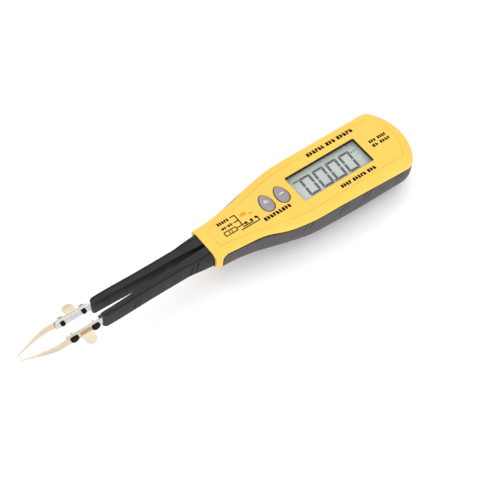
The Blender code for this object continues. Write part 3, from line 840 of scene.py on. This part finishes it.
def schematic():
    """The small circuit sketch on the neck: part symbols, connecting lines and contact dots."""
    line = 0.55
    shapes = strokes((10.0, 16.0), 4.4, 1.6)
    shapes.append(bar((16.6, 4.6), (19.1, 4.6), line))
    for x in (11.4, 14.6):
        shapes.append([(x - 0.9, 0.5), (x - 0.9, 2.3), (x + 0.5, 1.4)])
        shapes.append(bar((x + 0.65, 0.5), (x + 0.65, 2.3), 0.4))
        shapes.append(bar((x - 1.5, 1.4), (x + 1.5, 1.4), 0.34))
    shapes.append(bar((16.6, 1.4), (19.1, 1.4), line))
    for y in (-0.6, -2.7):
        shapes.append(bar((9.9, y), (16.1, y), 0.5))
    for x in (10.0, 16.0):
        shapes.append(bar((x, -2.6), (x, -0.7), 0.5))
    for x in (12.4, 13.7):
        shapes.append(bar((x, -2.25), (x, -1.05), 0.45))
    shapes.append(bar((19.1, 4.7), (19.1, -1.6), line))
    shapes.append(bar((16.4, -1.6), (20.6, -1.6), line))
    shapes.append(bar((18.7, -2.8), (24.0, -2.8), line))
    shapes.append(bar((24.0, -2.8), (24.0, -1.8), line))
    shapes.append(bar((17.3, -3.8), (27.0, -3.8), line))
    shapes.append(bar((26.8, -3.8), (26.8, -1.6), line))
    for x in (21.0, 23.7, 26.2):
        shapes.append(oval((x, -1.64), 0.7, 0.7, 20))
    return shapes


# ---------------------------------------------------------------- buttons

def make_buttons():
    """Glossy domed caps, with a flange under the cover and a stem over the switch."""
    for key, (low, high) in BUTTONS.items():
        stem = [(low.z, -1.6), (low.z + 0.7, -1.6)]
        flange = [(low.z + 0.8, 0.6), (low.z + 1.5, 0.6)]
        levels = stem + flange + [(low.z + 1.5, 0.0), (FACE_Z - 0.2, 0.0)]
        edge, crown = 0.55, high.z - 0.04
        for i in range(1, 9):
            angle = math.radians(11.25 * i)
            z = FACE_Z - 0.2 + (BUTTON_RIM_Z - FACE_Z + 0.2) * math.sin(angle)
            levels.append((z, -edge * (1 - math.cos(angle))))
        for share in (0.85, 0.7, 0.5, 0.3, 0.02):
            grow = -edge - (BUTTON_HALF[0] - edge) * (1.0 - share)
            levels.append((mix(crown, BUTTON_RIM_Z, share * share), grow))
        rings = [[(x, y, z) for x, y in button_outline(key, grow)] for z, grow in levels]
        cap = loft(key + "_button_cap", rings, MATERIALS["button_plastic"], sharp=50.0)
        finish_piece(cap, key + "_button", "button_plastic", "button_" + key)


# ---------------------------------------------------------------- arms

def arm_width(x):
    """Inner and outer faces of an arm cover at x, as distances from the middle plane."""
    inner = mix(2.8, 1.6, ease(-55.0, -18.0, x)) - 0.8 * ease(-18.0, 2.0, x)
    outer = mix(5.95, 5.6, ease(-50.0, -28.0, x)) + 2.1 * ease(-13.0, 1.0, x)
    near_end = max(1.0 - (x - ARM_LOW.x) / 2.4, 0.0)
    return inner, outer - 0.75 * near_end ** 2


def arm_ring(x, side, shrink):
    """A section of an arm cover: flat faces with small round edges, rounder at the outer bottom."""
    inner, outer = arm_width(x)
    inner, outer = inner + shrink, outer - shrink
    low = ARM_LOW.z + shrink
    high = mix(ARM_HIGH.z, ARM_ROOT_TOP_Z, ease(-12.0, -2.0, x)) - shrink
    near_root = ease(-10.0, 0.0, x)
    top_edge, low_edge = mix(0.3, 2.1, near_root), mix(0.9, 2.1, near_root)
    corners = (
        (outer, high, -1, -1, top_edge, 90.0), (inner, high, 1, -1, 0.4, 180.0),
        (inner, low, 1, 1, 0.4, 270.0), (outer, low, -1, 1, low_edge, 0.0),
    )
    ring = []
    for y, z, in_y, in_z, radius, start in corners:
        for i in range(5):
            angle = math.radians(start - 90.0 + 22.5 * i)
            across = y + in_y * radius + radius * math.cos(angle)
            ring.append((x, side * across, z + in_z * radius + radius * math.sin(angle)))
        if start == 90.0:
            for step, drop in ((0.25, 0.0), (0.45, 0.32), (0.65, 0.0)):
                ring.append((x, side * (outer - radius - step), high - drop))
    return ring


# Slanted grooves on the outside of the sleeves: where each starts, and how far its top leans
ARM_GROOVES = (-40.4, -38.2, -11.6, -9.4)
ARM_GROOVE_LEAN = 2.6


def make_arm_cover(label, side):
    places = [ARM_LOW.x, ARM_LOW.x + 0.25, ARM_LOW.x + 0.8, ARM_LOW.x + 1.5]
    places += spread(ARM_LOW.x + 4.0, ARM_HIGH.x, 34)
    shrinks = [0.45, 0.2, 0.05] + [0.0] * (len(places) - 3)
    cover = loft(f"{label}_arm_sleeve", [arm_ring(x, side, s) for x, s in zip(places, shrinks)])
    slot_y = (side * (BLADE_LOW.y - 0.2), side * (BLADE_HIGH.y + 0.2))
    slot = box((ARM_LOW.x - 5.0, 5.0), slot_y, (BLADE_LOW.z - 0.2, BLADE_HIGH.z + 0.2))
    apply_boolean(cover, slot)
    for x in ARM_GROOVES:
        outer = arm_width(x)[1]
        low, high = ARM_LOW.z + 0.6, ARM_HIGH.z - 0.5
        top_x = x + ARM_GROOVE_LEAN
        outline = [(x, low), (x + 0.5, low), (top_x, high), (top_x - 0.5, high)]
        y_range = sorted((side * (outer - 0.22), side * (outer + 3.0)))
        apply_boolean(cover, loft("helper", [[(px, y, z) for px, z in outline] for y in y_range]))
    smooth_by_angle(cover, 28.0)
    cover.data.materials.append(MATERIALS["arm_plastic"])
    finish_piece(cover, label + "_arm", "arm_plastic", label + "_arm_cover")


def strip_ring(x, middle, half, low, high, side, edge=0.08):
    """A section of sheet metal with slightly broken edges."""
    near, far = middle - half, middle + half
    outline = [
        (near + edge, low), (far - edge, low), (far, low + edge), (far, high - edge),
        (far - edge, high), (near + edge, high), (near, high - edge), (near, low + edge),
    ]
    return [(x, side * y, z) for y, z in outline]


def make_blade(label, side):
    middle = 0.5 * (BLADE_LOW.y + BLADE_HIGH.y)
    half = 0.5 * (BLADE_HIGH.y - BLADE_LOW.y)
    rings = []
    for x, shrink in ((BLADE_LOW.x, 0.5), (BLADE_LOW.x + 0.5, 0.0), (BLADE_HIGH.x, 0.0)):
        rings.append(strip_ring(x, middle, half, BLADE_LOW.z + shrink, BLADE_HIGH.z - shrink, side))
    blade = loft(label + "_steel_strip", rings, MATERIALS["spring_steel"])
    finish_piece(blade, label + "_arm", "spring_steel", label + "_spring_blade")


def tip_ring(x, side):
    """A section of the gold tip: a flat plate that narrows and bends in to a fine point."""
    inner, outer = TIP_PLATE_Y
    along = max(0.0, BEND_X - x) / (BEND_X - TIP_LOW.x)
    middle = 0.5 * (inner + outer) + 0.15 * ease(PLATE_END_X, BEND_X, x) - 4.05 * along ** 1.35
    half = 0.5 * (outer - inner) * mix(1.0, 0.8, along)
    narrow = ease(PLATE_END_X, TIP_LOW.x - 3.0, x)
    low, high = mix(BLADE_LOW.z, 18.1, narrow), mix(BLADE_HIGH.z, 18.75, narrow)
    return strip_ring(x, middle, half, low, high, side, 0.07)


def ear_surface(side):
    """The finger tab: a strip with a round end that curls down as it reaches out."""
    points, faces = [], []
    across, lengthwise = 13, 22
    reach_end = TIP_HIGH.y
    for face in (0, 1):
        for i in range(lengthwise):
            share = i / (lengthwise - 1)
            y = mix(5.1, reach_end, share)
            past = max(0.0, y - (reach_end - EAR_HALF)) / EAR_HALF
            half = EAR_HALF * math.sqrt(max(1.0 - min(past, 0.9999) ** 2, 0.0))
            curl = 18.75 - 0.9 * share ** 2
            for j in range(across):
                x = EAR_X + half * (2.0 * j / (across - 1) - 1.0)
                points.append((x, side * y, curl - 0.5 * face))
    layer = across * lengthwise
    for i in range(lengthwise - 1):
        for j in range(across - 1):
            a = i * across + j
            faces.append((a, a + 1, a + across + 1, a + across))
            faces.append((layer + a, layer + a + across, layer + a + across + 1, layer + a + 1))
    border = list(range(across)) + [i * across + across - 1 for i in range(1, lengthwise)]
    border += [(lengthwise - 1) * across + j for j in reversed(range(across - 1))]
    border += [i * across for i in reversed(range(1, lengthwise - 1))]
    for a, b in zip(border, border[1:] + border[:1]):
        faces.append((a, b, layer + b, layer + a))
    return points, faces


def make_tip(label, side):
    places = [TIP_HIGH.x] + spread(PLATE_END_X, BEND_X, 6) + spread(BEND_X - 0.6, TIP_LOW.x, 26)
    gold = MATERIALS["gold_plating"]
    tip = loft(label + "_gold_tip", [tip_ring(x, side) for x in places], gold, sharp=25.0)
    points, faces = ear_surface(side)
    ear = add_mesh("helper", points, faces, gold, 40.0)
    apply_boolean(tip, ear, "UNION")
    smooth_by_angle(tip, 28.0)
    finish_piece(tip, label + "_arm", "gold_plating", label + "_tip")


def make_tip_screws(label, side):
    """Round-headed screws across the tip, each with a slot in its head."""
    for key in ("front", "rear"):
        node = f"{label}_tip_screw_{key}"
        low, high = cad_box(node)
        x, z = 0.5 * (low.x + high.x), 0.5 * (low.z + high.z)
        near, far = sorted((abs(low.y), abs(high.y)))
        seat = far - 1.1
        profile = [(near, 0.75), (near + 0.25, 1.0)]
        pitch = 0.28
        turns = int((seat - near - 0.4) / pitch)
        for i in range(turns):
            profile += [(near + 0.3 + i * pitch, 1.05), (near + 0.3 + (i + 0.5) * pitch, 0.9)]
        profile += [(seat, 1.0), (seat, 1.95), (seat + 0.3, 1.95)]
        for i in range(1, 8):
            angle = math.radians(12.0 * i)
            profile.append((seat + 0.3 + 0.8 * math.sin(angle), 1.95 * math.cos(angle)))
        profile.append((far, 0.05))
        placed = [(side * y, radius) for y, radius in profile]
        screw = turned(node + "_detail", "Y", (x, z), placed, None, 40)
        slot_y = (side * (far - 0.5), side * (far + 1.0))
        apply_boolean(screw, box((x - 2.2, x + 2.2), slot_y, (z - 0.25, z + 0.25)))
        smooth_by_angle(screw, 30.0)
        screw.data.materials.append(MATERIALS["black_screw"])
        finish_piece(screw, label + "_arm", "black_screw", node)


def make_arm_tongue():
    """The small tab on top of the left sleeve's end, which the right sleeve doesn't have."""
    plastic = MATERIALS["arm_plastic"]
    tongue = box((-56.2, -52.7), (-4.9, -3.4), (20.9, 21.3), "left_arm_tongue", plastic)
    finish_piece(tongue, "left_arm", "arm_plastic")


def make_arms():
    for label, side in (("right", 1), ("left", -1)):
        make_arm_cover(label, side)
        make_blade(label, side)
        make_tip(label, side)
        make_tip_screws(label, side)
    make_arm_tongue()


# ---------------------------------------------------------------- screws below, and the inner CAD nodes

def make_case_screws():
    """Pan heads with a cross slot, which show from below."""
    for key, (low, high) in CASE_SCREWS.items():
        make_upright_screw("case_screw_" + key, low, high, 2.1)
    make_upright_screw("battery_door_screw", DOOR_SCREW_LOW, DOOR_SCREW_HIGH, 1.8)


def make_upright_screw(node, low, high, radius):
    x, y = centre_of(low, high)
    head = 1.3 if radius > 2 else 0.75
    shank = 0.5 * radius
    profile = [(low.z, 0.55 * radius), (low.z + 0.12, 0.85 * radius), (low.z + 0.35 * head, radius)]
    profile += [(low.z + head, radius), (low.z + head, shank)]
    profile += [(high.z - 0.5, shank), (high.z, 0.6 * shank)]
    screw = turned(node + "_detail", "Z", (x, y), profile, None, 36)
    reach = 0.62 * radius
    for half_x, half_y in ((reach, 0.2), (0.2, reach)):
        z_range = (low.z - 1.0, low.z + 0.55 * head)
        cross = box((x - half_x, x + half_x), (y - half_y, y + half_y), z_range)
        apply_boolean(screw, cross)
    smooth_by_angle(screw, 30.0)
    screw.data.materials.append(MATERIALS["black_screw"])
    finish_piece(screw, "case", "black_screw", node)


# The CAD nodes that stay as they are, and the material each takes
KEPT = {
    "clear_lens": ("window_lens",),
    "lcd_glass": ("lcd_panel",),
    "white_plastic": ("lcd_holder",),
    "zebra_rubber": ("zebra_strip_upper", "zebra_strip_lower"),
    "board_green": ("circuit_board",),
    "black_plastic": (
        "main_chip", "buzzer", "switch_function", "switch_hold", "battery_holder", "arm_block",
    ),
    "crystal_can": ("crystal",),
    "spring_steel": ("coin_cell", "right_clamp_screw", "left_clamp_screw"),
    "gold_plating": ("battery_contact_positive", "battery_contact_negative"),
    "wire_cover": ("right_lead_wire", "left_lead_wire"),
}


def paint_kept_nodes():
    for slot, nodes in KEPT.items():
        for node in nodes:
            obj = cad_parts[node]
            obj.data.materials.clear()
            obj.data.materials.append(MATERIALS[slot])


# ---------------------------------------------------------------- floor, light and camera

AZIMUTH = -35.39
ELEVATION = 54.65
ROLL = -0.85
AIM = (18.03, -8.45, 12.0)
DISTANCE = 698.9
LENS_MM = 116.4


def floor_material():
    made = Shader("studio_floor", srgb(252, 252, 253), 0.6)
    made.tint(made.remap(made.noise(8.0, 2.0), 0.0, 1.0), srgb(250, 250, 251), srgb(253, 253, 254))
    made.rough(made.noise(30.0), 0.55, 0.65)
    return made.material


def make_floor():
    size, z = 6000.0, -0.05
    points = [(x * size, y * size, z) for x, y in ((-1, -1), (1, -1), (1, 1), (-1, 1))]
    floor = add_mesh("floor", points, [(0, 1, 2, 3)], floor_material())


def area_light(name, place, aim, size, watts):
    data = bpy.data.lights.new(name, "AREA")
    data.shape = "DISK"
    data.size = size
    data.energy = watts
    light = bpy.data.objects.new(name, data)
    light.location = Vector(place)
    light.rotation_euler = (Vector(aim) - light.location).to_track_quat("-Z", "Y").to_euler()
    bpy.context.scene.collection.objects.link(light)


def make_light():
    world = bpy.data.worlds.new("studio")
    world.use_nodes = True
    background = world.node_tree.nodes["Background"]
    background.inputs["Color"].default_value = (1.0, 1.0, 1.0, 1.0)
    background.inputs["Strength"].default_value = 1.12
    bpy.context.scene.world = world
    bpy.context.scene.view_settings.view_transform = "Standard"
    area_light("key", (-0.1, 0.3, 1.0), (0.0, 0.0, 0.0), 1.6, 2.6)
    area_light("fill", (-0.4, -0.9, 0.5), (0.0, 0.0, 0.0), 1.2, 4.5)


def make_camera():
    data = bpy.data.cameras.new("camera")
    data.lens = LENS_MM
    data.sensor_width = 36.0
    camera = bpy.data.objects.new("camera", data)
    bpy.context.scene.collection.objects.link(camera)
    turn, rise = math.radians(AZIMUTH), math.radians(ELEVATION)
    back = Vector((math.sin(turn) * math.cos(rise), -math.cos(turn) * math.cos(rise), math.sin(rise)))
    camera.location = (Vector(AIM) + COLLAR_PLACE + back * DISTANCE) * MM
    level = back.to_track_quat("Z", "Y")
    camera.rotation_euler = (level @ Quaternion((0.0, 0.0, 1.0), math.radians(ROLL))).to_euler()
    data.clip_start = 0.01
    data.clip_end = 50.0
    bpy.context.scene.camera = camera


make_front_cover()
make_rear_cover()
make_battery_door()
make_window_painted_shade()
make_display()
make_prints()
make_buttons()
make_arms()
make_case_screws()
paint_kept_nodes()
make_floor()
make_light()
make_camera()
